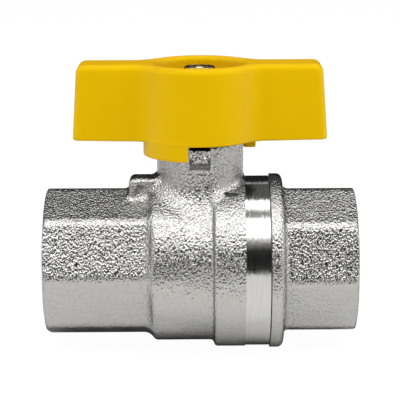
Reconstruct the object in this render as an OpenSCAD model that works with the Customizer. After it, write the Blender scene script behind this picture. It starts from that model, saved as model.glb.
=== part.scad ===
// Two-piece full-bore ball valve, 3/4 inch, female threads both ends, butterfly handle.
// Millimetres. Origin: centre of the ball, where the pipe axis meets the stem axis.
// +X runs along the pipe towards the screwed-in end connector, +Z up the stem to the handle,
// -Y is the side with the stop lug. Drawn with the valve open.

/* [Overall] */
// length over the two threaded ends
valve_length = 71; // [69:0.5:76]
// width across the flats of both octagonal ends
octagon_flats = 32.25; // [31:0.25:33]
// turn of the end connector's octagon about the pipe axis, degrees
connector_turn = 4.2; // [-10:0.1:10]

/* [Body casting] */
// radius of the round housing beside the octagon
housing_r = 18.35; // [18.1:0.05:18.8]
// where the housing's shoulder begins
housing_x = -11.4; // [-12:0.1:-11]
// radius of the raised ring round the ball
ring_r = 19.85; // [19.7:0.05:20.2]
// where the raised ring begins
ring_x = 3; // [2:0.1:4]
// radius of the turned band beside the joint
band_r = 19.65; // [19.4:0.05:19.8]
// where the turned band begins
band_x = 10.1; // [9.8:0.1:10.6]
// position of the face where body and end connector meet
joint_x = 15.8; // [15.6:0.1:16.2]
// outside diameter of the neck that carries the stem
neck_d = 20; // [19:0.25:20.5]
// radius of the neck's foot where it runs into the housing
foot_r = 8.6; // [7:0.1:10]
// height at which that foot leaves the neck
foot_z = 22; // [21:0.1:23]
// height of the top of the neck above the pipe axis
neck_top = 28.6; // [28:0.1:28.8]
// width of the stop lug on the neck
lug_w = 4.7; // [3.5:0.1:5]
// distance of the lug's face from the stem axis
lug_y = 12.5; // [12:0.1:13]
// height of the top of the stop lug above the pipe axis
lug_top = 28.3; // [27.8:0.1:28.5]

/* [Pipe threads] */
// radius at the roots of the female Rp 3/4 thread
pipe_major_r = 13.22; // [13.1:0.01:13.3]
// radius at the crests of the female thread, drawn as a plain bore
pipe_minor_r = 12.06; // [12:0.01:12.1]
// length of the thread bore between entry chamfer and relief
thread_len = 14.5; // [12:0.5:14.5]

/* [Ball and seats] */
// ball diameter
ball_d = 30; // [29.6:0.1:30]
// bore through the ball and the body
bore_d = 20; // [18:0.5:20]
// gap between the ball and each seat
seat_gap = 0.05; // [0.02:0.01:0.08]
// outside diameter of each seat
seat_d = 27; // [26.8:0.1:27]

/* [Stem] */
// stem diameter in the neck
stem_d = 10; // [9.9:0.01:10.02]
// clearance round the stem in the neck, radial
stem_gap = 0.05; // [0.04:0.01:0.1]
// thickness of the tang that turns the ball
tang_t = 3.9; // [3.6:0.1:4]
// distance across the flats that drive the handle
stem_flats = 8; // [7.5:0.1:8.5]
// diameter of the threaded stud at the top of the stem
stud_d = 5; // [5]
// height of the end of the stud above the pipe axis
stud_top = 45.5; // [45:0.1:45.8]

/* [Handle] */
// tip-to-tip length at the bottom edge
handle_l = 57.7; // [54:0.1:62]
// tip-to-tip length at the top edge
handle_l_top = 55.4; // [52:0.1:60]
// thickness of the wings
wing_t = 10.5; // [9.5:0.25:11.5]
// bottom of the hub and wings above the pipe axis
handle_z = 29; // [28.9:0.1:29.4]
// rise of the wings' bottom edges from the hub out to the tips
wing_rise = 0.25; // [0:0.05:1]
// top of the wings above the pipe axis
handle_top = 46.4; // [46.2:0.1:47.5]
// radius of the round hub and of the stop tabs below it
hub_r = 13.2; // [13:0.1:13.5]
// radius of the rounded top edges
top_round = 1.6; // [1:0.1:2]
// radius of the round pocket that holds the nut
pocket_r = 10.1; // [9.6:0.1:10.4]
// radius of the pocket's rounded rim
rim_round = 1.3; // [0.5:0.1:1.5]
// height of the pocket floor
pocket_z = 39.6; // [39.4:0.1:39.8]
// bottom of the front stop tab above the pipe axis
tab_z = 25.5; // [25.3:0.1:26.4]
// bottom of the back stop tab above the pipe axis
back_tab_z = 26.1; // [25.3:0.1:26.4]
// wall left round the core holes under the wings
core_wall = 2.2; // [1.8:0.1:2.8]

/* [Hidden] */
// ends and octagons
end_x = valve_length / 2;
oct_r = octagon_flats / 2 / cos(22.5);
corner_cut = 0.25;
end_cut = 0.95;
// bores and threads
bore_r = bore_d / 2;
entry = 1.5;
relief_r = pipe_major_r + 0.28;
relief_w = 2;
relief_cone = 1.2;
// ball, seats and the chamber round them
ball_r = ball_d / 2;
seat_r = seat_d / 2;
seat_front = 9.2;
seat_back = 13.5;
seat_bore_r = bore_r + 0.25;
seat_lip = 1.6;
fit = 0.05;
chamber_r = 15.5;
chamber_x = 8.8;
// screwed joint of the end connector
spigot_r = 16.95;
spigot_x = 8.9;
joint_gap = 0.04;
joint_cut = 0.6;
flange_r = 20.15;
flange_x = 18.8;
flange_round = 1.3;
flange_fillet = 1.4;
// neck, stem, collar and seal grooves
neck_r = neck_d / 2;
stem_r = stem_d / 2;
stem_bore_r = stem_r + stem_gap;
collar_r = 6.9;
collar_z = 15.3;
collar_top = 17.6;
ledge_z = 18.8;
groove_lo = 20.5;
groove_hi = 24.2;
groove_h = 2.4;
groove_r = 3.4;
ring_sect_r = 0.8;
ring_mid_r = groove_r + ring_sect_r + 0.02;
shoulder_z = 31;
stem_end = 39;
tang_z = 12;
chamfer = 0.4;
// nut and washer
stud_r = stud_d / 2;
nut_z = pocket_z + 1;
nut_flats = 8;
nut_turn = 20;
nut_h = 3.7;
collar_nut_r = 3.5;
nut_top = nut_z + 4.85;
insert_r = 3.1;
washer_r = 5;

// ---------- shared shapes ----------

// a profile of [radius, x] points spun about the pipe axis
module spin_x(points) {
    rotate([0, 90, 0])
        rotate_extrude($fn = 96)
            polygon(points);
}

// a profile of [radius, z] points spun about the stem axis
module spin_z(points) {
    rotate_extrude($fn = 96)
        polygon(points);
}

// one end's octagon, a corner pointing up, running from x = from to the face at x = end_x
module octagon_end(from, turn) {
    intersection() {
        rotate([turn, 0, 0])
            rotate([0, 90, 0])
                translate([0, 0, from])
                    cylinder(h = end_x - from, r = oct_r, $fn = 8);
        spin_x([[0, from - 1], [oct_r - corner_cut, from - 1],
                [oct_r - corner_cut, end_x - end_cut * tan(30)],
                [oct_r - corner_cut - end_cut, end_x], [0, end_x]]);
    }
}

// female end bore from the face inwards: entry chamfer, thread bore, relief, passage, seat pocket
module end_bore() {
    start = end_x - entry;
    stop = start - thread_len;
    relief = stop - relief_w;
    spin_x([[0, end_x + 1], [pipe_minor_r + entry, end_x + 1], [pipe_minor_r + entry, end_x],
            [pipe_minor_r, start], [pipe_minor_r, stop], [relief_r, stop], [relief_r, relief],
            [bore_r, relief - relief_cone], [bore_r, seat_back + fit],
            [seat_r + fit, seat_back + fit], [seat_r + fit, spigot_x - 1], [0, spigot_x - 1]]);
}

// ---------- body ----------

// housing with its shoulder to the octagon, raised ring and turned band
module housing_solid() {
    root_x = housing_x - 4.6;
    edge = 1;
    step = ring_r - band_r;
    spin_x([[0, root_x], [oct_r - 2, root_x], [housing_r - edge, housing_x],
            [housing_r - edge * (1 - cos(45)), housing_x + edge * (1 - cos(45))],
            [housing_r, housing_x + edge], [housing_r, ring_x], [ring_r - 0.3, ring_x + 0.4],
            [ring_r, ring_x + 0.9], [ring_r, band_x - step], [band_r, band_x],
            [band_r, joint_x - 0.2], [band_r - 0.2, joint_x], [0, joint_x]]);
}

// neck with a concave foot
module neck_solid() {
    foot_low = 14.6;
    foot_out = foot_r - sqrt(pow(foot_r, 2) - pow(foot_z - foot_low, 2));
    union() {
        spin_z([[0, 2], [neck_r, 2], [neck_r, neck_top - 0.3], [neck_r - 0.3, neck_top],
                [0, neck_top]]);
        rotate_extrude($fn = 96)
            difference() {
                translate([0, 2])
                    square([neck_r + foot_out, foot_z - 2]);
                translate([neck_r + foot_r, foot_z])
                    circle(r = foot_r, $fn = 96);
                translate([neck_r + foot_out, foot_low - 20])
                    square([1, 20]);
            }
    }
}

// lug that both stop tabs run against
module stop_lug() {
    translate([-lug_w / 2, 0, 0])
        rotate([90, 0, 90])
            linear_extrude(lug_w)
                polygon([[-lug_y, lug_top - 3.1], [0.25 - lug_y, lug_top], [-8, lug_top],
                         [-8, 22], [0.1 - neck_r, 23.3]]);
}

// small rounded boss beside the neck with a blind dimple for a seal wire
module seal_boss() {
    round_r = 2.35;
    translate([0, 1.5, 0])
        rotate([90, 0, 0])
            linear_extrude(6)
                translate([-13.9, 18])
                    union() {
                        circle(r = round_r, $fn = 48);
                        translate([-round_r, -6])
                            square([7, 6]);
                        translate([0, -2])
                            square([6, 2 + round_r]);
                    }
}

module boss_dimple() {
    translate([-13.4, -3.7, 17.3])
        rotate([90, 0, 0])
            cylinder(h = 2, r = 1.6, $fn = 48);
}

module body() {
    color("#b9b8b0")
        difference() {
            union() {
                mirror([1, 0, 0])
                    octagon_end(12, 0);
                housing_solid();
                neck_solid();
                stop_lug();
                seal_boss();
            }
            mirror([1, 0, 0])
                end_bore();
            // chamber for the ball, opening into the bore for the end connector
            spin_x([[0, -chamber_x], [chamber_r, -chamber_x], [chamber_r, spigot_x - 0.4],
                    [spigot_r + fit, spigot_x - 0.4], [spigot_r + fit, joint_x - joint_cut],
                    [spigot_r + fit + joint_cut, joint_x],
                    [spigot_r + fit + joint_cut, joint_x + 1], [0, joint_x + 1]]);
            // stem bore, stepped for the collar and the thrust washer
            spin_z([[0, 10], [collar_r + 0.2, 10], [collar_r + 0.2, ledge_z],
                    [stem_bore_r, ledge_z], [stem_bore_r, neck_top - chamfer],
                    [stem_bore_r + chamfer, neck_top], [stem_bore_r + chamfer, neck_top + 1],
                    [0, neck_top + 1]]);
            boss_dimple();
        }
}

// ---------- end connector ----------

// flange with a rounded edge and a concave blend to the octagon
module flange() {
    face = joint_x + joint_gap;
    rotate([0, 90, 0])
        rotate_extrude($fn = 96)
            difference() {
                union() {
                    polygon([[0, face], [flange_r - 0.25, face], [flange_r, face + 0.25],
                             [flange_r, flange_x - flange_round],
                             [flange_r - flange_round, flange_x - flange_round],
                             [flange_r - flange_round, flange_x],
                             [oct_r - 0.4 + flange_fillet, flange_x],
                             [oct_r - 0.4, flange_x + flange_fillet], [0, flange_x + flange_fillet]]);
                    translate([flange_r - flange_round, flange_x - flange_round])
                        circle(r = flange_round, $fn = 48);
                }
                translate([oct_r - 0.4 + flange_fillet, flange_x + flange_fillet])
                    circle(r = flange_fillet, $fn = 48);
            }
}

module end_connector() {
    color("#b4b3ab")
        difference() {
            union() {
                octagon_end(17, connector_turn);
                spin_x([[0, spigot_x], [spigot_r - 2 * chamfer, spigot_x],
                        [spigot_r, spigot_x + 2 * chamfer], [spigot_r, joint_x + 1],
                        [0, joint_x + 1]]);
                flange();
            }
            end_bore();
        }
}

// ---------- ball and seats ----------

module ball() {
    color("#d8dadb")
        difference() {
            sphere(r = ball_r, $fn = 128);
            spin_x([[0, -16], [bore_r + 2.5, -16], [bore_r, -11.1], [bore_r, 11.1],
                    [bore_r + 2.5, 16], [0, 16]]);
            translate([-tang_t / 2 - 0.15, -16, tang_z - 0.2])
                cube([tang_t + 0.3, 32, 5]);
        }
}

module seat_ring() {
    difference() {
        spin_x([[seat_bore_r, seat_front + 0.8], [seat_r - seat_lip, seat_front],
                [seat_r, seat_front], [seat_r, seat_back - chamfer], [seat_r - chamfer, seat_back],
                [seat_bore_r, seat_back]]);
        sphere(r = ball_r + seat_gap, $fn = 128);
    }
}

module inlet_seat() {
    color("#f2f1ec")
        mirror([1, 0, 0])
            seat_ring();
}

module outlet_seat() {
    color("#f2f1ec")
        seat_ring();
}

// ---------- stem and its seals ----------

module stem() {
    color("#c9a85c")
        difference() {
            union() {
                spin_z([[0, collar_z], [collar_r - chamfer, collar_z],
                        [collar_r, collar_z + chamfer], [collar_r, collar_top],
                        [stem_r, collar_top], [stem_r, groove_lo],
                        [groove_r, groove_lo], [groove_r, groove_lo + groove_h],
                        [stem_r, groove_lo + groove_h], [stem_r, groove_hi],
                        [groove_r, groove_hi], [groove_r, groove_hi + groove_h],
                        [stem_r, groove_hi + groove_h], [stem_r, stem_end - chamfer],
                        [stem_r - chamfer, stem_end], [stud_r - chamfer, stem_end],
                        [stud_r - chamfer, stem_end + 0.8], [stud_r, stem_end + 1.1],
                        [stud_r, stud_top - 0.5], [stud_r - 0.5, stud_top], [0, stud_top]]);
                intersection() {
                    translate([-tang_t / 2, -stem_r, tang_z])
                        cube([tang_t, stem_d, collar_z - tang_z + 0.7]);
                    cylinder(h = collar_z + 1, r = stem_r, $fn = 96);
                }
            }
            for (side = [-1, 1])
                translate([side * (stem_flats / 2 + stem_r) - stem_r, -stem_r - 1, shoulder_z])
                    cube([stem_d, stem_d + 2, stem_end + fit - shoulder_z]);
        }
}

module stem_thrust_washer() {
    color("#efeee8")
        spin_z([[stem_bore_r + fit, collar_top + 0.03], [collar_r, collar_top + 0.03],
                [collar_r, ledge_z - fit], [stem_bore_r + fit, ledge_z - fit]]);
}

module oring(z) {
    translate([0, 0, z])
        rotate_extrude($fn = 96)
            translate([ring_mid_r, 0])
                circle(r = ring_sect_r, $fn = 48);
}

module stem_oring_lower() {
    color("#1b1b1c")
        oring(groove_lo + groove_h / 2);
}

module stem_oring_upper() {
    color("#1b1b1c")
        oring(groove_hi + groove_h / 2);
}

// ---------- handle ----------

// side view of the wings: drafted ends, rounded upper corners, bottom edges rising to the tips
module wing_side() {
    half = handle_l / 2;
    top_half = handle_l_top / 2;
    corner = 2.5;
    union() {
        polygon([[-half, handle_z + wing_rise], [-hub_r, handle_z], [hub_r, handle_z],
                 [half, handle_z + wing_rise], [top_half + 0.16, handle_top - corner],
                 [top_half - corner, handle_top], [corner - top_half, handle_top],
                 [-top_half - 0.16, handle_top - corner]]);
        for (side = [-1, 1])
            translate([side * (top_half + 0.08 - corner), handle_top - corner])
                circle(r = corner, $fn = 64);
    }
}

// end view of the wings: rounded top edges
module wing_end() {
    half = wing_t / 2;
    union() {
        translate([-half, handle_z - 1])
            square([wing_t, handle_top - top_round - handle_z + 1]);
        translate([top_round - half, handle_z])
            square([wing_t - 2 * top_round, handle_top - handle_z]);
        for (side = [-1, 1])
            translate([side * (half - top_round), handle_top - top_round])
                circle(r = top_round, $fn = 48);
    }
}

// plan of the wings: rounded ends
module wing_plan() {
    edge = 1.5;
    half = handle_l / 2;
    union() {
        translate([-half, edge - wing_t / 2])
            square([handle_l, wing_t - 2 * edge]);
        translate([edge - half, -wing_t / 2])
            square([handle_l - 2 * edge, wing_t]);
        for (sx = [-1, 1], sy = [-1, 1])
            translate([sx * (half - edge), sy * (wing_t / 2 - edge)])
                circle(r = edge, $fn = 48);
    }
}

// plan of the concave blends where the wings leave the hub
module hub_blends() {
    blend = 1.8;
    half = wing_t / 2;
    reach = sqrt(pow(hub_r + blend, 2) - pow(half + blend, 2));
    for (sx = [-1, 1], sy = [-1, 1])
        scale([sx, sy])
            difference() {
                polygon([[8, half - 1], [reach, half - 1], [reach, half],
                         [hub_r * reach / (hub_r + blend),
                          hub_r * (half + blend) / (hub_r + blend)], [8, 8]]);
                translate([reach, half + blend])
                    circle(r = blend, $fn = 64);
            }
}

// one stop tab, a quarter ring under the hub, down to height low
module stop_tab(low) {
    clear = lug_w / 2 + 0.3;
    intersection() {
        translate([clear, clear, low])
            cube([20, 20, handle_z - low + 1]);
        spin_z([[neck_r + 0.5, low], [hub_r - 0.5, low], [hub_r, low + 0.5],
                [hub_r, handle_z + 1], [neck_r + 0.5, handle_z + 1]]);
    }
}

// core holes that hollow the wings from below
module wing_cores() {
    inner = 15;
    outer = handle_l_top / 2 - core_wall - 0.4;
    for (turn = [0, 180])
        rotate([0, 0, turn])
            translate([inner, core_wall - wing_t / 2, handle_z - 1])
                cube([outer - inner, wing_t - 2 * core_wall,
                      handle_top - handle_z - core_wall]);
}

// round hub with a rounded top edge
module hub_solid() {
    union() {
        translate([0, 0, handle_z])
            cylinder(h = handle_top - top_round - handle_z, r = hub_r, $fn = 96);
        translate([0, 0, handle_z])
            cylinder(h = handle_top - handle_z, r = hub_r - top_round, $fn = 96);
        translate([0, 0, handle_top - top_round])
            rotate_extrude($fn = 96)
                translate([hub_r - top_round, 0])
                    circle(r = top_round, $fn = 48);
    }
}

// pocket for the nut, with a rounded rim
module nut_pocket() {
    difference() {
        translate([0, 0, pocket_z])
            cylinder(h = handle_top - pocket_z + 1, r = pocket_r + rim_round, $fn = 96);
        rotate_extrude($fn = 96)
            union() {
                translate([pocket_r, pocket_z - 1])
                    square([3, handle_top - rim_round - pocket_z + 1]);
                translate([pocket_r + rim_round, handle_top - rim_round])
                    circle(r = rim_round, $fn = 48);
            }
    }
}

module handle() {
    color("#e3b60f")
        difference() {
            union() {
                intersection() {
                    translate([0, 20, 0])
                        rotate([90, 0, 0])
                            linear_extrude(40)
                                wing_side();
                    translate([-40, 0, 0])
                        rotate([90, 0, 90])
                            linear_extrude(80)
                                wing_end();
                    translate([0, 0, handle_z])
                        linear_extrude(30)
                            wing_plan();
                }
                translate([0, 0, handle_z])
                    linear_extrude(handle_top - handle_z - top_round)
                        hub_blends();
                hub_solid();
                stop_tab(back_tab_z);
                rotate([0, 0, 180])
                    stop_tab(tab_z);
            }
            nut_pocket();
            // hole for the stem flats, opening into a round recess over the neck
            intersection() {
                translate([0, 0, handle_z - 1])
                    cylinder(h = 12, r = stem_r + 0.08, $fn = 96);
                translate([-stem_flats / 2 - 0.06, -stem_d, handle_z - 1])
                    cube([stem_flats + 0.12, 2 * stem_d, 12]);
            }
            translate([0, 0, handle_z - 1])
                cylinder(h = shoulder_z + 1.05 - handle_z, r = stem_r + 0.4, $fn = 96);
            wing_cores();
        }
}

// ---------- handle fastening ----------

module handle_washer() {
    edge = 0.15;
    low = pocket_z + 0.01;
    high = nut_z - 0.01;
    color("#c3c6c8")
        spin_z([[stud_r + 0.15, low], [washer_r - edge, low], [washer_r, low + edge],
                [washer_r, high - edge], [washer_r - edge, high], [stud_r + 0.15, high]]);
}

// hexagon nut with a crimped collar round its locking insert
module handle_nut() {
    collar_in = nut_z + nut_h - 0.2;
    color("#c8cbcc")
        difference() {
            union() {
                intersection() {
                    translate([0, 0, nut_z])
                        rotate([0, 0, nut_turn])
                            cylinder(h = nut_h, r = nut_flats / 2 / cos(30), $fn = 6);
                    spin_z([[0, nut_z], [4.2, nut_z], [4.7, nut_z + 0.3],
                            [4.7, nut_z + nut_h - 0.5], [3.9, nut_z + nut_h],
                            [0, nut_z + nut_h]]);
                }
                spin_z([[0, nut_z + 3], [collar_nut_r, nut_z + 3], [collar_nut_r, nut_top - 0.5],
                        [collar_nut_r - 0.45, nut_top], [0, nut_top]]);
            }
            spin_z([[0, nut_z - 1], [stud_r + chamfer, nut_z - 1], [stud_r + chamfer, nut_z],
                    [stud_r + 0.02, nut_z + chamfer], [stud_r + 0.02, collar_in],
                    [insert_r, collar_in], [insert_r, nut_top - chamfer],
                    [insert_r - 0.3, nut_top], [insert_r - 0.3, nut_top + 1],
                    [0, nut_top + 1]]);
        }
}

module nut_insert() {
    low = nut_z + nut_h - 0.15;
    high = nut_top - 0.25;
    color("#2a2a2c")
        spin_z([[stud_r + 0.01, low], [insert_r - 0.02, low], [insert_r - 0.02, high - 0.2],
                [insert_r - 0.2, high], [stud_r + 0.01, high]]);
}

body();
end_connector();
ball();
inlet_seat();
outlet_seat();
stem();
stem_thrust_washer();
stem_oring_lower();
stem_oring_upper();
handle();
handle_washer();
handle_nut();
nut_insert();
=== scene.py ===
import math

import bpy
import numpy as np
from mathutils import Matrix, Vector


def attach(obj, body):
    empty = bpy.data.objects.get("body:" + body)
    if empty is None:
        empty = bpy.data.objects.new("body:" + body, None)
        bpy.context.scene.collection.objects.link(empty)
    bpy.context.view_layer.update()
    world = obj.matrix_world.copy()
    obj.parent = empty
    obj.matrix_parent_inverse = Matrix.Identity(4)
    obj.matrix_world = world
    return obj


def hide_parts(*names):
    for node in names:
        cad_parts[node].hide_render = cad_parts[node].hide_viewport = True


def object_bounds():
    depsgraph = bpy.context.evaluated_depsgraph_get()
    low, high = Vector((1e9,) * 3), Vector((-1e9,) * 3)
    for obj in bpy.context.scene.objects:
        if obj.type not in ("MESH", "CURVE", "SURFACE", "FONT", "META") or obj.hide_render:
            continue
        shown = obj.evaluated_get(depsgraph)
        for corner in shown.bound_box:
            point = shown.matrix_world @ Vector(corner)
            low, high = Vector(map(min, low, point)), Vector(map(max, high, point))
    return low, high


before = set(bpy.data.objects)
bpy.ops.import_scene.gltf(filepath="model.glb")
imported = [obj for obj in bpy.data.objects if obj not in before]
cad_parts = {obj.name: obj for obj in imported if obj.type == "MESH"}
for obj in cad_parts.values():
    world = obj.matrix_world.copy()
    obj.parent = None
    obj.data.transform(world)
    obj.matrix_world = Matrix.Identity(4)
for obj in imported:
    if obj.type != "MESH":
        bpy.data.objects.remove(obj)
cad_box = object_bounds()

MM = 0.001

# Driving dimensions in millimetres; they repeat the part's own sizes.
END_X = 35.5
HALF_FLATS = 16.125
CORNER_R = 3.2
CONNECTOR_TURN = math.radians(4.2)
CHAMFER_R = 16.27
CHAMFER_DIR = (0.865, 0.501)
HOUSING_X = -10.9
HOUSING_R = 18.35
RING_X = 3.0
RING_R = 19.85
BAND_X = 10.1
BAND_R = 19.65
JOINT_X = 15.8
FLANGE_R = 20.15
FLANGE_END = 18.8
FLANGE_ROUND = 1.3
FLANGE_FILLET = 1.3
JOINT_GAP = 0.04
NECK_R = 10.0
NECK_TOP = 28.6
LUG_HALF = 2.35
LUG_FRONT = -12.5
LUG_EDGE_Z = 25.2
LUG_TOP = 28.3
LUG_LEAN = 0.08
LUG_LEAN_COS = 0.997
LUG_SLOPE_DIR = (0.586, 0.810)
BOSS_X = (-16.3, -7.0)
BOSS_Y = (-4.6, 1.8)
BOSS_Z = (8.0, 20.4)
CUP = (-13.4, -6.1, 17.3)
CUP_R = 2.2
PIT = (6.9, -9.1, 17.65)
PIT_R = 0.55
PIT_STRETCH = 2.6
BORE_R = 10.0
SEAT_R = 13.5
CHAMBER_R = 15.5
STEM_BORE_R = 5.05
HANDLE_Z = 29.0
HANDLE_TOP = 46.4
WING_HALF = 5.25
WING_TIP = 28.85
WING_LEAN = 0.066
WING_LEAN_COS = 0.998
WING_RISE = 0.25
WING_CORNER = 1.8
HUB_R = 13.2
TOP_ROUND = 1.6
POCKET_R = 10.1
RIM_ROUND = 1.3
POCKET_Z = 39.6
TAB_Z = 25.5
BACK_TAB_Z = 26.1
TAB_IN_R = 10.5
CORE_X = (15, 25.1)
CORE_HALF = 3.05
CORE_TOP = 43.2
NUT_Z = 40.6
NUT_HEX_H = 3.7
NUT_H = 4.85
NUT_HALF_FLATS = 4.0
NUT_TURN = 20
NUT_COLLAR_R = 3.5
NUT_CHAMFER_DIR = (0.5, 0.866)
STUD_TOP = 45.5
SHOULDER_Z = 31.0
STEM_R = 5.0
COLLAR_R = 6.9
GROOVE_R = 3.4
GROOVES = ((20.5, 22.9), (24.2, 26.6))

# Grid steps of the cast shapes, and the share of their triangles that is kept.
CELL = 0.28
HANDLE_CELL = 0.3
NUT_CELL = 0.11
SKIN_SHARE = 0.45
NUT_SHARE = 0.5

# Radius of cutting tools that reach past the outside, and the angle from which an edge is sharp.
STOCK_R = 25
SHARP_EDGE = math.radians(32)

# ---------- fields: negative inside, roughly the distance in millimetres ----------


def cap(a, b, r):
    """The overlap of two shapes, its outer edge rounded to radius r."""
    return np.minimum(-r, np.maximum(a, b)) + np.hypot(np.maximum(r + a, 0), np.maximum(r + b, 0))


def join(a, b, r):
    """Both shapes together, with a fillet of radius r between them."""
    return np.maximum(r, np.minimum(a, b)) - np.hypot(np.maximum(r - a, 0), np.maximum(r - b, 0))


def slab(t, low, high):
    """The layer low < t < high."""
    return np.abs(t - (low + high) / 2) - (high - low) / 2


def octagon(y, z, turn, edge_r):
    """An octagonal bar along x with rounded edges, one edge pointing up when turn is 0."""
    eighth = math.pi / 4
    half = eighth / 2
    radius = np.hypot(y, z)
    angle = np.abs((np.arctan2(z, y) - turn + half) % eighth - half)
    out, side = radius * np.cos(angle), radius * np.sin(angle)
    inset = HALF_FLATS - edge_r
    corner = inset / math.cos(half)
    face = out * math.cos(half) + side * math.sin(half) - inset
    along = side * math.cos(half) - out * math.sin(half)
    edge = np.hypot(out - corner, side)
    return np.where(along < -corner * math.sin(half), edge, face) - edge_r


def threaded_end(x, y, z, turn):
    """The octagon of one end, towards +x, with its turned end chamfer."""
    tube = np.hypot(y, z)
    bar = octagon(y, z, turn, CORNER_R)
    chamfer = (x - END_X) * CHAMFER_DIR[0] + (tube - CHAMFER_R) * CHAMFER_DIR[1]
    return cap(cap(bar, chamfer, 0.25), slab(x, 5, END_X), 0.25)


def body_casting(x, y, z):
    """The body's outside: octagon, housing, ring, neck, pit, seal-wire boss and stop lug."""
    tube = np.hypot(y, z)
    shape = threaded_end(-x, y, z, 0)
    housing = cap(tube - HOUSING_R, slab(x, HOUSING_X, 6), 1.0)
    ring = cap(tube - RING_R, slab(x, RING_X, 17.2), 0.9)
    shape = join(join(shape, housing, 2.4), ring, 0.9)
    neck = cap(np.hypot(x, y) - NECK_R + 0.1, slab(z, 0, NECK_TOP), 0.35)
    # the fillet at the neck's foot gets smaller towards the ring
    shape = join(shape, neck, 3.6 - 2.4 * np.clip((x - 2) / 5, 0, 1))
    # small pit left at the foot of the neck
    pit = np.sqrt(((x - PIT[0]) / PIT_STRETCH) ** 2 + (y - PIT[1]) ** 2 + (z - PIT[2]) ** 2)
    shape = cap(shape, PIT_R - pit, 0.2)
    # boss for a seal wire, with a cupped front
    boss = cap(slab(x, *BOSS_X), slab(z, *BOSS_Z), 1.5)
    boss = cap(boss, slab(y, *BOSS_Y), 1.2)
    shape = join(shape, boss, 1.1)
    cup = np.sqrt((x - CUP[0]) ** 2 + (y - CUP[1]) ** 2 + (z - CUP[2]) ** 2)
    shape = cap(shape, CUP_R - cup, 0.35)
    # stop lug, leaning back a little and sloped underneath
    slope = (LUG_FRONT - y) * LUG_SLOPE_DIR[0] + (LUG_EDGE_Z - z) * LUG_SLOPE_DIR[1]
    face = (LUG_FRONT - y + (z - LUG_EDGE_Z) * LUG_LEAN) * LUG_LEAN_COS
    lug = cap(cap(slab(x, -LUG_HALF, LUG_HALF), face, 0.3), slab(z, 20, LUG_TOP), 0.3)
    lug = cap(cap(lug, slope, 0.3), y + 6, 0.3)
    return join(shape, lug, 0.35)


def connector_casting(x, y, z):
    """The end connector's outside: flange and octagon, cut off flat inside the joint."""
    tube = np.hypot(y, z)
    flange = cap(tube - FLANGE_R, slab(x, 13, FLANGE_END), FLANGE_ROUND)
    shape = join(threaded_end(x, y, z, CONNECTOR_TURN), flange, FLANGE_FILLET)
    return np.maximum(shape, 14.3 - x)


def handle_casting(x, y, z):
    """The butterfly handle before its recess and drive are cut, with hollow wings open below."""
    hub = np.hypot(x, y)
    outline = join(np.abs(y) - WING_HALF, hub - HUB_R, 2.5)
    ends = (np.abs(x) - WING_TIP + (z - HANDLE_Z) * WING_LEAN) * WING_LEAN_COS
    solid = cap(outline, cap(ends, z - HANDLE_TOP, WING_CORNER), TOP_ROUND)
    # the wings' lower edges rise a little towards their tips
    foot = HANDLE_Z + WING_RISE * np.clip((np.abs(x) - HUB_R) / (WING_TIP - HUB_R), 0, 1)
    solid = cap(solid, foot - z, 0.45)
    # stop tabs on opposite quarters of the hub's underside
    for turn, low in ((1, BACK_TAB_Z), (-1, TAB_Z)):
        quarter = LUG_HALF + 0.3 - np.minimum(turn * x, turn * y)
        tab = cap(cap(slab(hub, TAB_IN_R, HUB_R), quarter, 0.4), slab(z, low, HANDLE_Z + 0.9), 0.45)
        solid = join(solid, tab, 0.5)
    pocket = cap(hub - POCKET_R, POCKET_Z - z, 0.5)
    solid = cap(solid, -pocket, RIM_ROUND)
    core = cap(slab(np.abs(x), *CORE_X), np.abs(y) - CORE_HALF, 1.0)
    core = cap(core, z - CORE_TOP, 0.8)
    return cap(solid, -core, 0.4)


def nut_forging(x, y, z):
    """A hexagon nut with a round collar on top, before its bore is cut."""
    hub = np.hypot(x, y)
    turns = [math.radians(NUT_TURN + 60 * k) for k in range(3)]
    flats = [np.abs(x * math.sin(t) - y * math.cos(t)) - NUT_HALF_FLATS for t in turns]
    top = NUT_Z + NUT_HEX_H
    bar = cap(np.maximum(np.maximum(*flats[:2]), flats[2]), slab(z, NUT_Z, top), 0.12)
    # chamfers of 30 degrees, above and below
    out, up = NUT_CHAMFER_DIR
    bar = cap(bar, (hub - 4.05) * out + (z - top) * up, 0.1)
    bar = cap(bar, (hub - 4.2) * out + (NUT_Z - z) * up, 0.1)
    collar = cap(hub - NUT_COLLAR_R, slab(z, NUT_Z + 2, NUT_Z + NUT_H), 0.4)
    return join(bar, collar, 0.25)


# ---------- meshes ----------


def gradient(field, p, step=0.02):
    """Slope of the field at points p, an (n, 3) array."""
    slope = np.empty_like(p)
    for axis in range(3):
        ahead, behind = p.copy(), p.copy()
        ahead[:, axis] += step
        behind[:, axis] -= step
        slope[:, axis] = (field(*ahead.T) - field(*behind.T)) / (2 * step)
    return slope


def net_points(values, low, cell):
    """One point in each cell that the surface crosses, and the grid of their numbers."""
    shape = tuple(n - 1 for n in values.shape)
    total = np.zeros((3,) + shape, np.float32)
    count = np.zeros(shape, np.float32)
    for axis in range(3):
        first = np.take(values, range(values.shape[axis] - 1), axis)
        second = np.take(values, range(1, values.shape[axis]), axis)
        crossed = (first < 0) != (second < 0)
        share = np.where(crossed, first / np.where(crossed, first - second, 1), 0)
        others = [a for a in range(3) if a != axis]
        for da in (0, 1):
            for db in (0, 1):
                part = [slice(None)] * 3
                part[others[0]] = slice(da, shape[others[0]] + da)
                part[others[1]] = slice(db, shape[others[1]] + db)
                hit = crossed[tuple(part)]
                count += hit
                total[axis] += share[tuple(part)]
                total[others[0]] += hit * da
                total[others[1]] += hit * db
    active = count > 0
    number = np.full(shape, -1, np.int64)
    number[active] = np.arange(active.sum())
    points = np.argwhere(active) + (total[:, active] / count[active]).T
    return np.asarray(low) + points * cell, number


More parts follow.
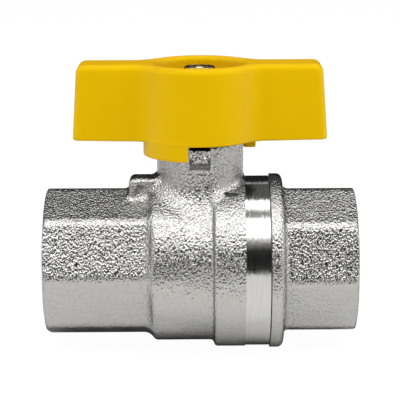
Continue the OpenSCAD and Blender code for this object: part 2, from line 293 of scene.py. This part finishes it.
def net_faces(values, number):
    """A quad round each grid edge that the surface crosses, facing outwards."""
    quads = []
    inside = values < 0
    for axis in range(3):
        b, c = (axis + 1) % 3, (axis + 2) % 3
        here = np.take(inside, range(inside.shape[axis] - 1), axis)
        there = np.take(inside, range(1, inside.shape[axis]), axis)
        edge = np.argwhere(here != there)
        out = here[tuple(edge.T)]
        corners = []
        for db, dc in ((-1, -1), (0, -1), (0, 0), (-1, 0)):
            cell = edge.copy()
            cell[:, b] += db
            cell[:, c] += dc
            corners.append(number[tuple(cell.T)])
        quad = np.stack(corners, 1)
        quad[~out] = quad[~out][:, ::-1]
        quads.append(quad)
    return np.concatenate(quads)


def new_mesh(name, points, faces):
    """A mesh of points in millimetres."""
    mesh = bpy.data.meshes.new(name)
    mesh.from_pydata((np.asarray(points) * MM).tolist(), [], faces)
    mesh.validate()
    return mesh


def cast(name, field, low, high, cell):
    """A closed mesh of the field's surface, every point of it moved onto the surface."""
    axes = [np.arange(a, b + cell, cell) for a, b in zip(low, high)]
    values = field(*np.meshgrid(*axes, indexing="ij", sparse=True)).astype(np.float32)
    points, number = net_points(values, low, cell)
    for _ in range(3):
        slope = gradient(field, points)
        steep = np.maximum((slope ** 2).sum(1), 0.25)
        move = (field(*points.T) / steep)[:, None] * slope
        points -= np.clip(move, -0.4 * cell, 0.4 * cell)
    return new_mesh(name, points, net_faces(values, number).tolist())


def lathe(name, rows, segments=192, axis="x"):
    """A closed solid spun about an axis. Each row is (place along the axis, radius).

    The radius is a number or a function of the angle."""
    turn = np.arange(segments) * 2 * math.pi / segments
    rings = []
    for place, radius in rows:
        r = np.broadcast_to(radius(turn) if callable(radius) else radius, turn.shape)
        along = np.full(segments, float(place))
        rings.append(np.stack([along, r * np.cos(turn), r * np.sin(turn)], 1))
    points = np.concatenate(rings)
    ends = [[rows[0][0], 0, 0], [rows[-1][0], 0, 0]]
    points = np.concatenate([points, ends])
    faces = []
    for j in range(len(rows) - 1):
        low, high = j * segments, (j + 1) * segments
        for i in range(segments):
            k = (i + 1) % segments
            faces.append([low + i, high + i, high + k, low + k])
    first, last = len(points) - 2, len(points) - 1
    base = (len(rows) - 1) * segments
    for i in range(segments):
        k = (i + 1) % segments
        faces.append([first, i, k])
        faces.append([last, base + k, base + i])
    if axis == "z":
        points = points[:, [1, 2, 0]]
    if rows[0][0] < rows[-1][0]:
        faces = [f[::-1] for f in faces]
    return new_mesh(name, points, faces)


def show(name, mesh):
    """The mesh as an object in the scene."""
    obj = bpy.data.objects.new(name, mesh)
    bpy.context.scene.collection.objects.link(obj)
    return obj


def modified(mesh, kind, **settings):
    """The mesh after one modifier."""
    obj = show("work", mesh)
    mod = obj.modifiers.new("work", kind)
    for key, value in settings.items():
        setattr(mod, key, value)
    shaped = obj.evaluated_get(bpy.context.evaluated_depsgraph_get())
    result = bpy.data.meshes.new_from_object(shaped)
    bpy.data.objects.remove(obj)
    return result


def machined(mesh, tool, operation="DIFFERENCE"):
    """The mesh with the tool's shape cut from it, or added to it."""
    cutter = show("tool", tool)
    result = modified(mesh, "BOOLEAN", object=cutter, operation=operation, solver="MANIFOLD",
                      material_mode="TRANSFER")
    bpy.data.objects.remove(cutter)
    return result


def piece(name, mesh, body, slot, *nodes):
    """A finished piece that rides on a body and stands for CAD nodes."""
    mesh.name = name
    mesh.shade_smooth()
    mesh.set_sharp_from_angle(angle=SHARP_EDGE)
    obj = show(name, mesh)
    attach(obj, body)
    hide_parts(*nodes)
    return obj


# ---------- threads and bores ----------

PIPE_PITCH = 1.814
PIPE_MID_R = 12.64
PIPE_DEPTH = 1.16
PIPE_LENGTH = 16.0
MOUTH_R = 13.75
JOINT_PITCH = 1.5
JOINT_DEPTH = 0.8
STUD_PITCH = 0.8
ROWS_A_TURN = 14


def wave(phase):
    """A thread's rounded section, once for each whole phase: -1 at its inner side, 1 at its outer side."""
    ramp = np.abs(phase % 1 - 0.5) * 4 - 1
    return np.tanh(1.7 * ramp) / math.tanh(1.7)


def thread(low, high, pitch, mid_r, depth, limit=None):
    """Rows of a right-hand thread between two places. limit(place, radius) may change its radius."""
    steps = max(2, round(abs(high - low) / pitch * ROWS_A_TURN))
    rows = []
    for i in range(steps + 1):
        place = low + (high - low) * i / steps

        def radius(turn, place=place):
            r = mid_r + depth / 2 * wave(place / pitch - turn / (2 * math.pi))
            return limit(place, r) if limit else r
        rows.append((place, radius))
    return rows


def end_bore(side):
    """Rows of the way in at one end, side -1 or 1: threads, relief, passage and seat pocket."""

    def entry(place, r):
        return np.maximum(r, MOUTH_R - 1.1 * (END_X - abs(place)))

    stop = END_X - PIPE_LENGTH
    rows = [(side * (END_X + 1), MOUTH_R)]
    rows += thread(side * END_X, side * stop, PIPE_PITCH, PIPE_MID_R, PIPE_DEPTH, entry)
    rows += [(side * (stop - 0.01), SEAT_R), (side * (stop - 2), SEAT_R), (side * (stop - 3.2), BORE_R),
             (side * 13.55, BORE_R), (side * 13.54, SEAT_R)]
    return rows


# ---------- body and end connector ----------


def make_body():
    mesh = cast("body", body_casting, (-36.2, -21, -21), (18.2, 21, 29.6), CELL)
    mesh = modified(mesh, "DECIMATE", ratio=SKIN_SHARE)
    mesh.materials.append(CAST)
    chamber = end_bore(-1) + [(-8.8, SEAT_R), (-8.79, CHAMBER_R), (8.5, CHAMBER_R), (8.51, 16.25)]
    chamber += thread(8.6, JOINT_X - 0.6, JOINT_PITCH, 16.65, JOINT_DEPTH)
    chamber += [(JOINT_X - 0.5, 17.1), (JOINT_X, 17.6), (JOINT_X + 2, 17.6)]
    stem_bore = [(9, 7.1), (18.8, 7.1), (18.81, STEM_BORE_R), (NECK_TOP - 0.4, STEM_BORE_R),
                 (NECK_TOP, 5.45), (NECK_TOP + 1, 5.45)]
    # a ring-shaped cut from outside leaves the turned band
    around = lathe("around", [(BAND_X, STOCK_R), (19, STOCK_R)], 256)
    band = lathe("band", [(9, BAND_R), (JOINT_X - 0.25, BAND_R), (JOINT_X, BAND_R - 0.25)], 256)
    around.materials.append(TURNED)
    band.materials.append(TURNED)
    mesh = machined(mesh, machined(around, band))
    for tool in (lathe("chamber", chamber), lathe("stem_bore", stem_bore, 96, "z")):
        tool.materials.append(BORED)
        mesh = machined(mesh, tool)
    piece("valve_body", mesh, "valve_body", "body_nickel", "body")


def make_connector():
    mesh = cast("connector", connector_casting, (13.7, -21, -21), (36.2, 21, 21), CELL)
    mesh = modified(mesh, "DECIMATE", ratio=SKIN_SHARE)
    mesh.materials.append(CAST)
    face = JOINT_X + JOINT_GAP
    spigot = [(8.9, 15.4), (9.6, 16.1)] + thread(9.7, JOINT_X - 1.2, JOINT_PITCH, 16.5, JOINT_DEPTH)
    spigot += [(JOINT_X - 1.1, 16.1), (face + 1, 16.1)]
    steps = ((lathe("front", [(12, STOCK_R), (face, STOCK_R)], 256), "DIFFERENCE"),
             (lathe("spigot", spigot), "UNION"),
             (lathe("bore", end_bore(1) + [(8, SEAT_R)]), "DIFFERENCE"))
    for tool, operation in steps:
        tool.materials.append(BORED)
        mesh = machined(mesh, tool, operation)
    piece("screwed_end", mesh, "valve_body", "connector_nickel", "end_connector")


# ---------- handle ----------


def make_handle():
    mesh = cast("handle", handle_casting, (-29.8, -14, 25.3), (29.8, 14, 47.2), HANDLE_CELL)
    mesh.materials.append(YELLOW)
    recess = lathe("recess", [(HANDLE_Z - 1, 5.4), (SHOULDER_Z + 0.05, 5.4)], 96, "z")
    drive = modified(lathe("drive", [(HANDLE_Z, 5.08), (POCKET_Z + 1, 5.08)], 96, "z"), "TRIANGULATE")
    for side in (-1, 1):
        drive = machined(drive, block((side * 9.06, 0, 35), (10, 14, 14)))
    for tool in (recess, drive):
        tool.materials.clear()
        tool.materials.append(YELLOW)
        mesh = machined(mesh, tool)
    handle = piece("butterfly_handle", mesh, "spindle", "handle_yellow", "handle")
    handle.visible_glossy = False


def make_washer():
    rows = [(POCKET_Z + 0.01, 4.85), (POCKET_Z + 0.08, 4.97), (POCKET_Z + 0.2, 5), (NUT_Z - 0.3, 5),
            (NUT_Z - 0.1, 4.93), (NUT_Z - 0.01, 4.7)]
    mesh = lathe("washer", rows, 128, "z")
    mesh = machined(mesh, lathe("hole", [(POCKET_Z - 1, 2.65), (NUT_Z + 1, 2.65)], 96, "z"))
    mesh.materials.clear()
    mesh.materials.append(ZINC_PAINTED_YELLOW)
    piece("handle_plate_washer", mesh, "spindle", "zinc_steel", "handle_washer")


# ---------- stem and nut ----------


def make_stem():
    # collar, two O-ring grooves, shank, threaded stud with a centre mark
    rows = [(15.3, 6.5), (15.7, COLLAR_R), (17.6, COLLAR_R), (17.61, STEM_R)]
    for low, high in GROOVES:
        rows += [(low, STEM_R), (low + 0.01, GROOVE_R), (high, GROOVE_R), (high + 0.01, STEM_R)]
    rows += [(38.6, STEM_R), (39, 4.6), (39.01, 2.05), (40.1, 2.05)]
    rows += thread(40.2, STUD_TOP - 0.4, STUD_PITCH, 2.24, 0.44)
    rows += [(STUD_TOP - 0.35, 2.25), (STUD_TOP, 1.8), (STUD_TOP, 1.2), (STUD_TOP - 0.12, 0.9),
             (STUD_TOP - 0.2, 0.2)]
    mesh = lathe("stem", rows, 128, "z")
    # flats that drive the handle, and the tang that drives the ball
    for side in (-1, 1):
        mesh = machined(mesh, block((side * 9, 0, 35.02), (10, 14, 8.04)))
    tang = lathe("round", [(11, STEM_R), (17, STEM_R)], 96, "z")
    tang = machined(block((0, 0, 14), (3.9, 12, 4)), tang, "INTERSECT")
    mesh = machined(mesh, tang, "UNION")
    mesh.materials.clear()
    mesh.materials.append(BRASS)
    piece("threaded_stem", mesh, "spindle", "stem_brass", "stem")


def make_nut():
    mesh = cast("nut", nut_forging, (-4.8, -4.8, NUT_Z - 0.3), (4.8, 4.8, NUT_Z + 5.2), NUT_CELL)
    mesh = modified(mesh, "DECIMATE", ratio=NUT_SHARE)
    bore = [(NUT_Z - 1, 2.9), (NUT_Z + 0.05, 2.9), (NUT_Z + 0.4, 2.5)]
    bore += thread(NUT_Z + 0.5, NUT_Z + 3.4, STUD_PITCH, 2.36, 0.28)
    bore += [(NUT_Z + 3.49, 2.5), (NUT_Z + 3.5, 3.1), (NUT_Z + 4.45, 3.1), (NUT_Z + 4.75, 2.85),
             (NUT_Z + 6, 2.85)]
    mesh = machined(mesh, lathe("bore", bore, 128, "z"))
    mesh.materials.clear()
    mesh.materials.append(ZINC_PAINTED_YELLOW)
    piece("collar_nut", mesh, "spindle", "zinc_steel", "handle_nut")


def block(centre, size):
    """A plain box as a cutting tool."""
    corners = [[c + s * e / 2 for c, s, e in zip(centre, signs, size)]
               for signs in ((-1, -1, -1), (1, -1, -1), (1, 1, -1), (-1, 1, -1),
                             (-1, -1, 1), (1, -1, 1), (1, 1, 1), (-1, 1, 1))]
    faces = [[3, 2, 1, 0], [4, 5, 6, 7], [0, 1, 5, 4], [1, 2, 6, 5], [2, 3, 7, 6], [3, 0, 4, 7]]
    return new_mesh("block", corners, faces)


# ---------- materials ----------


class Shader:
    """A principled material with its nodes within reach; textures read object coordinates, in metres."""

    def __init__(self, name, color, roughness, metallic=0.0):
        self.material = bpy.data.materials.new(name)
        self.material.use_nodes = True
        self.tree = self.material.node_tree
        self.surface = self.tree.nodes["Principled BSDF"]
        self.set("Base Color", (*color, 1))
        self.set("Roughness", roughness)
        self.set("Metallic", metallic)
        self.place = self.tree.nodes.new("ShaderNodeTexCoord").outputs["Object"]

    def set(self, socket, value):
        self.surface.inputs[socket].default_value = value

    def node(self, kind, **settings):
        made = self.tree.nodes.new("ShaderNode" + kind)
        for key, value in settings.items():
            if key in made.inputs:
                made.inputs[key].default_value = value
            else:
                setattr(made, key, value)
        return made

    def link(self, source, target):
        self.tree.links.new(source, target)

    def noise(self, scale, detail=2.0, roughness=0.5, stretch=(1, 1, 1)):
        """Noise with features about 1 / scale metres across, stretched along the axes."""
        mapping = self.node("Mapping", Scale=stretch)
        made = self.node("TexNoise", Scale=scale, Detail=detail, Roughness=roughness)
        self.link(self.place, mapping.inputs["Vector"])
        self.link(mapping.outputs[0], made.inputs["Vector"])
        return made.outputs["Fac"]

    def ramp(self, source, low, high, out_low, out_high):
        made = self.node("MapRange")
        self.link(source, made.inputs["Value"])
        for name, value in (("From Min", low), ("From Max", high), ("To Min", out_low), ("To Max", out_high)):
            made.inputs[name].default_value = value
        return made.outputs["Result"]

    def math(self, operation, first, second):
        made = self.node("Math", operation=operation)
        self.link(first, made.inputs[0])
        self.link(second, made.inputs[1])
        return made.outputs[0]

    def tint(self, source, dark, light):
        """Base colour between two colours as the source goes from 0 to 1."""
        made = self.node("Mix", data_type="RGBA")
        self.link(source, made.inputs["Factor"])
        made.inputs[6].default_value = (*dark, 1)
        made.inputs[7].default_value = (*light, 1)
        self.link(made.outputs[2], self.surface.inputs["Base Color"])

    def bump(self, source, depth, before=None):
        """Relief of that depth in metres, on top of an earlier one."""
        made = self.node("Bump", Strength=1.0, Distance=depth)
        self.link(source, made.inputs["Height"])
        if before:
            self.link(before, made.inputs["Normal"])
        self.link(made.outputs["Normal"], self.surface.inputs["Normal"])
        return made.outputs["Normal"]


def cast_nickel():
    """Nickel plating over a coarse blasted casting."""
    s = Shader("cast_nickel", (0.48, 0.475, 0.455), 0.14, 1.0)
    cloud = s.noise(160, 2.0, 0.5)
    place = s.node("SeparateXYZ")
    s.link(s.place, place.inputs[0])
    # the faces of the two ends are turned, the rest keeps its casting skin
    across = s.node("Math", operation="ABSOLUTE")
    s.link(place.outputs["X"], across.inputs[0])
    skin = s.ramp(across.outputs[0], (END_X - 0.15) * MM, (END_X - 0.05) * MM, 1, 0)
    turned = s.ramp(across.outputs[0], (END_X - 0.15) * MM, (END_X - 0.05) * MM, 0, 1)
    grain = s.math("MULTIPLY", skin, s.noise(1750, 1.0, 0.5, (1.45, 1, 1)))
    fine = s.math("MULTIPLY", skin, s.noise(4200, 1.0, 0.5))
    facing = s.node("TexWave", wave_type="RINGS", rings_direction="X", Scale=700, Distortion=2.0,
                    Detail=2.0)
    s.link(s.place, facing.inputs["Vector"])
    facing = s.math("MULTIPLY", turned, facing.outputs["Fac"])
    # the front of the stop lug is coarser and speckled
    ahead = s.ramp(place.outputs["Y"], (LUG_FRONT + 0.8) * MM, (LUG_FRONT + 0.5) * MM, 0, 1)
    above = s.ramp(place.outputs["Z"], (LUG_EDGE_Z - 0.5) * MM, LUG_EDGE_Z * MM, 0, 1)
    lumps = s.math("MULTIPLY", s.noise(850, 1.0, 0.5), s.math("MULTIPLY", ahead, above))
    waves = s.bump(s.math("MULTIPLY", skin, s.noise(260, 1.0, 0.5)), 0.00018, s.bump(facing, 0.00001))
    first = s.bump(grain, 0.0003, s.bump(lumps, 0.0008, waves))
    s.bump(fine, 0.00005, first)
    s.link(s.ramp(cloud, 0.35, 0.65, 0.08, 0.15), s.surface.inputs["Roughness"])
    # painted shade: the base colour goes dark inside the pit at the neck's foot
    apart = s.node("VectorMath", operation="SUBTRACT")
    s.link(s.place, apart.inputs[0])
    apart.inputs[1].default_value = [c * MM for c in PIT]
    shrunk = s.node("VectorMath", operation="MULTIPLY")
    s.link(apart.outputs[0], shrunk.inputs[0])
    shrunk.inputs[1].default_value = (1 / PIT_STRETCH, 1, 1)
    length = s.node("VectorMath", operation="LENGTH")
    s.link(shrunk.outputs[0], length.inputs[0])
    pit_shade = s.ramp(length.outputs["Value"], 1.05 * PIT_R * MM, 1.5 * PIT_R * MM, 0.15, 1)
    specks = s.ramp(lumps, 0.5, 0.58, 1, 0.2)
    tone = s.math("MULTIPLY", s.ramp(grain, 0.3, 0.6, 0.9, 1), s.math("MULTIPLY", pit_shade, specks))
    s.tint(tone, (0.0, 0.0, 0.0), (0.50, 0.495, 0.475))
    return s.material


def turned_nickel(name, roughness, depth, color=(0.49, 0.485, 0.465)):
    """Nickel plating over a turned surface: fine rings round the pipe axis."""
    s = Shader(name, color, roughness, 1.0)
    rings = s.noise(900, 3.0, 0.6, (2.5, 0.12, 0.12))
    chatter = s.noise(420, 2.0, 0.5, (5, 1, 1))
    s.bump(rings, depth, s.bump(chatter, depth * 3))
    s.link(s.ramp(rings, 0.3, 0.7, roughness * 0.8, roughness * 1.3), s.surface.inputs["Roughness"])
    lines = s.noise(1500, 2.0, 0.6, (2, 0.1, 0.1))
    s.tint(s.ramp(lines, 0.35, 0.65, 0, 1), tuple(c * 0.93 for c in color), tuple(c * 1.05 for c in color))
    return s.material


def yellow_coat():
    """Semi-gloss yellow powder coat."""
    s = Shader("yellow_coat", (0.78, 0.45, 0.002), 0.42)
    s.set("Specular IOR Level", 0.4)
    s.set("Specular Tint", (0.0, 1.0, 0.0, 1))
    peel = s.noise(520, 2.0, 0.5)
    fine = s.noise(2600, 1.0, 0.5)
    s.bump(fine, 0.000006, s.bump(peel, 0.00002))
    s.tint(s.ramp(s.noise(60, 2.0, 0.5), 0.3, 0.7, 0, 1), (0.765, 0.442, 0.002), (0.795, 0.459, 0.002))
    return s.material


def plain(name, color, roughness, metallic=0.0, scale=1500, depth=0.00001):
    """A material with slight grain in its relief, roughness and colour."""
    s = Shader(name, color, roughness, metallic)
    grain = s.noise(scale, 3.0, 0.55)
    s.bump(grain, depth)
    s.link(s.ramp(grain, 0.3, 0.7, roughness * 0.85, roughness * 1.2), s.surface.inputs["Roughness"])
    s.tint(s.ramp(s.noise(scale / 6, 2.0, 0.5), 0.3, 0.7, 0, 1), tuple(c * 0.88 for c in color), color)
    return s.material


# ---------- camera, floor and light ----------


CAMERA_LENS = 145.935
CAMERA_SHIFT = -0.00075
CAMERA_PLACE = (0, -0.3653, 0.09526)
CAMERA_DIP = 0.218
CAMERA_ROLL = -0.0058
HUB_SHADE_R = 12.8
CARD_HALF_X = 1.2
CARD_HALF_Y = 0.34
CARD_LIFT = 0.00005
FLOOR_HALF = 3


def set_camera():
    """The photograph's camera: in front of the valve and a little above it."""
    camera = bpy.data.objects.new("camera", bpy.data.cameras.new("camera"))
    bpy.context.scene.collection.objects.link(camera)
    camera.data.sensor_width = 36
    camera.data.lens = CAMERA_LENS
    camera.data.shift_x = CAMERA_SHIFT
    camera.data.clip_end = 10
    camera.location = CAMERA_PLACE
    aim = Matrix.Rotation(math.pi / 2 - CAMERA_DIP, 3, "X") @ Matrix.Rotation(CAMERA_ROLL, 3, "Z")
    camera.rotation_euler = aim.to_euler()
    bpy.context.scene.camera = camera


def softbox(name, elevation, distance, width, height, radiance):
    """An area light facing the valve. Elevation goes up from the camera's side, past 90 behind."""
    angle = math.radians(elevation)
    light = bpy.data.lights.new(name, "AREA")
    light.shape = "RECTANGLE"
    light.size, light.size_y = width, height
    light.energy = radiance * math.pi * width * height
    obj = bpy.data.objects.new(name, light)
    bpy.context.scene.collection.objects.link(obj)
    obj.location = (0, -distance * math.cos(angle), distance * math.sin(angle))
    aim = -obj.location.normalized()
    obj.rotation_euler = aim.to_track_quat("-Z", "Y").to_euler()


def side_panel(name, x, radiance):
    """A dim upright area light beside the valve."""
    light = bpy.data.lights.new(name, "AREA")
    light.shape = "RECTANGLE"
    light.size, light.size_y = 0.9, 0.6
    light.energy = radiance * math.pi * light.size * light.size_y
    obj = bpy.data.objects.new(name, light)
    bpy.context.scene.collection.objects.link(obj)
    obj.location = (x, -0.05, 0.3)
    obj.rotation_euler = (-obj.location).to_track_quat("-Z", "Y").to_euler()


def set_hub_shade():
    """A dark disc of painted shade in the gap under the handle's hub, that only reflections see."""
    mesh = lathe("hub_shade", [(NECK_TOP + 0.1, HUB_SHADE_R), (HANDLE_Z - 0.1, HUB_SHADE_R)], 96, "z")
    mesh.materials.clear()
    mesh.materials.append(Shader("hub_shade", (0.02, 0.02, 0.02), 0.9).material)
    disc = show("hub_shade", mesh)
    disc.visible_camera = disc.visible_diffuse = disc.visible_shadow = False


def set_contact_shade(z):
    """A lit white card under the valve, with painted shade dark along its middle, that only reflections see.
    """
    mesh = bpy.data.meshes.new("contact_shade")
    x, y = CARD_HALF_X, CARD_HALF_Y
    mesh.from_pydata([(-x, -y, z), (x, -y, z), (x, y, z), (-x, y, z)], [], [(0, 1, 2, 3)])
    card = show("contact_shade", mesh)
    s = Shader("shade_card", (0.88, 0.88, 0.88), 1.0)
    place = s.node("SeparateXYZ")
    s.link(s.place, place.inputs[0])
    aside = s.node("Math", operation="ABSOLUTE")
    s.link(place.outputs["Y"], aside.inputs[0])
    # painted contact shade: the card's colour goes dark along its middle, under the valve
    s.tint(s.ramp(aside.outputs[0], 0.002, 0.009, 0, 1), (0.05, 0.05, 0.05), (0.88, 0.88, 0.88))
    s.set("Specular IOR Level", 0.0)
    s.set("Emission Color", (1, 1, 1, 1))
    s.set("Emission Strength", 0.02)
    mesh.materials.append(s.material)
    card.visible_camera = card.visible_diffuse = card.visible_shadow = False


def set_stage():
    """The pale floor, the two painted-shade helpers that reflections see, and the studio lights."""
    z = cad_box[0][2]
    mesh = bpy.data.meshes.new("floor")
    x = y = FLOOR_HALF
    mesh.from_pydata([(-x, -y, z), (x, -y, z), (x, y, z), (-x, y, z)], [], [(0, 1, 2, 3)])
    floor = show("floor", mesh)
    floor.visible_glossy = False
    s = Shader("pale_floor", (0.08, 0.08, 0.08), 0.8)
    s.set("Specular IOR Level", 0.0)
    s.set("Emission Color", (1, 1, 1, 1))
    s.set("Emission Strength", 0.97)
    mesh.materials.append(s.material)
    set_contact_shade(z + CARD_LIFT)
    set_hub_shade()
    world = bpy.data.worlds.new("world")
    bpy.context.scene.world = world
    world.use_nodes = True
    world.node_tree.nodes["Background"].inputs["Color"].default_value = (0.015, 0.015, 0.015, 1)
    softbox("front_softbox", 58, 0.7, 1.6, 0.33, 3.2)
    softbox("front_skirt", 41.5, 0.71, 1.6, 0.1, 0.8)
    softbox("front_hem", 34, 0.71, 1.6, 0.09, 0.18)
    softbox("top_softbox", 93, 0.7, 1.6, 0.2, 2.9)
    softbox("top_fill", 78.5, 0.9, 1.6, 0.2, 0.28)
    softbox("back_fill", 122, 0.75, 1.6, 0.36, 0.12)
    softbox("back_strip", 141, 0.7, 1.6, 0.03, 1.1)
    side_panel("left_panel", -0.8, 0.8)
    side_panel("right_panel", 0.8, 1.3)
    bpy.context.scene.view_settings.view_transform = "Standard"


# zinc plating, its colour tinted yellow as a painted reflection of the yellow handle, which reflections do
# not see
ZINC_PAINTED_YELLOW = turned_nickel("zinc_painted_yellow_reflection", 0.25, 0.000004, (0.55, 0.42, 0.19))
BRASS = turned_nickel("turned_brass", 0.22, 0.000004, (0.78, 0.60, 0.32))
CAST = cast_nickel()
TURNED = turned_nickel("turned_nickel", 0.15, 0.000016, (0.58, 0.575, 0.555))
BORED = turned_nickel("bored_nickel", 0.28, 0.00003)
YELLOW = yellow_coat()

NODE_FINISH = {
    "ball": plain("hard_chrome", (0.62, 0.63, 0.64), 0.08, 1.0, 900, 0.000002),
    "inlet_seat": plain("ptfe", (0.84, 0.84, 0.81), 0.45),
    "stem_oring_lower": plain("nitrile", (0.018, 0.018, 0.02), 0.5),
    "nut_insert": plain("nylon", (0.03, 0.03, 0.035), 0.4),
}
SAME_FINISH = {"outlet_seat": "inlet_seat", "stem_thrust_washer": "inlet_seat",
               "stem_oring_upper": "stem_oring_lower"}


def finish_cad_nodes():
    """Finer materials for the nodes that keep their CAD shape."""
    for node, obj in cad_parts.items():
        material = NODE_FINISH.get(SAME_FINISH.get(node, node))
        if material:
            for material_slot in obj.material_slots:
                material_slot.material = material


set_camera()
set_stage()
finish_cad_nodes()
make_body()
make_connector()
make_handle()
make_stem()
make_washer()
make_nut()
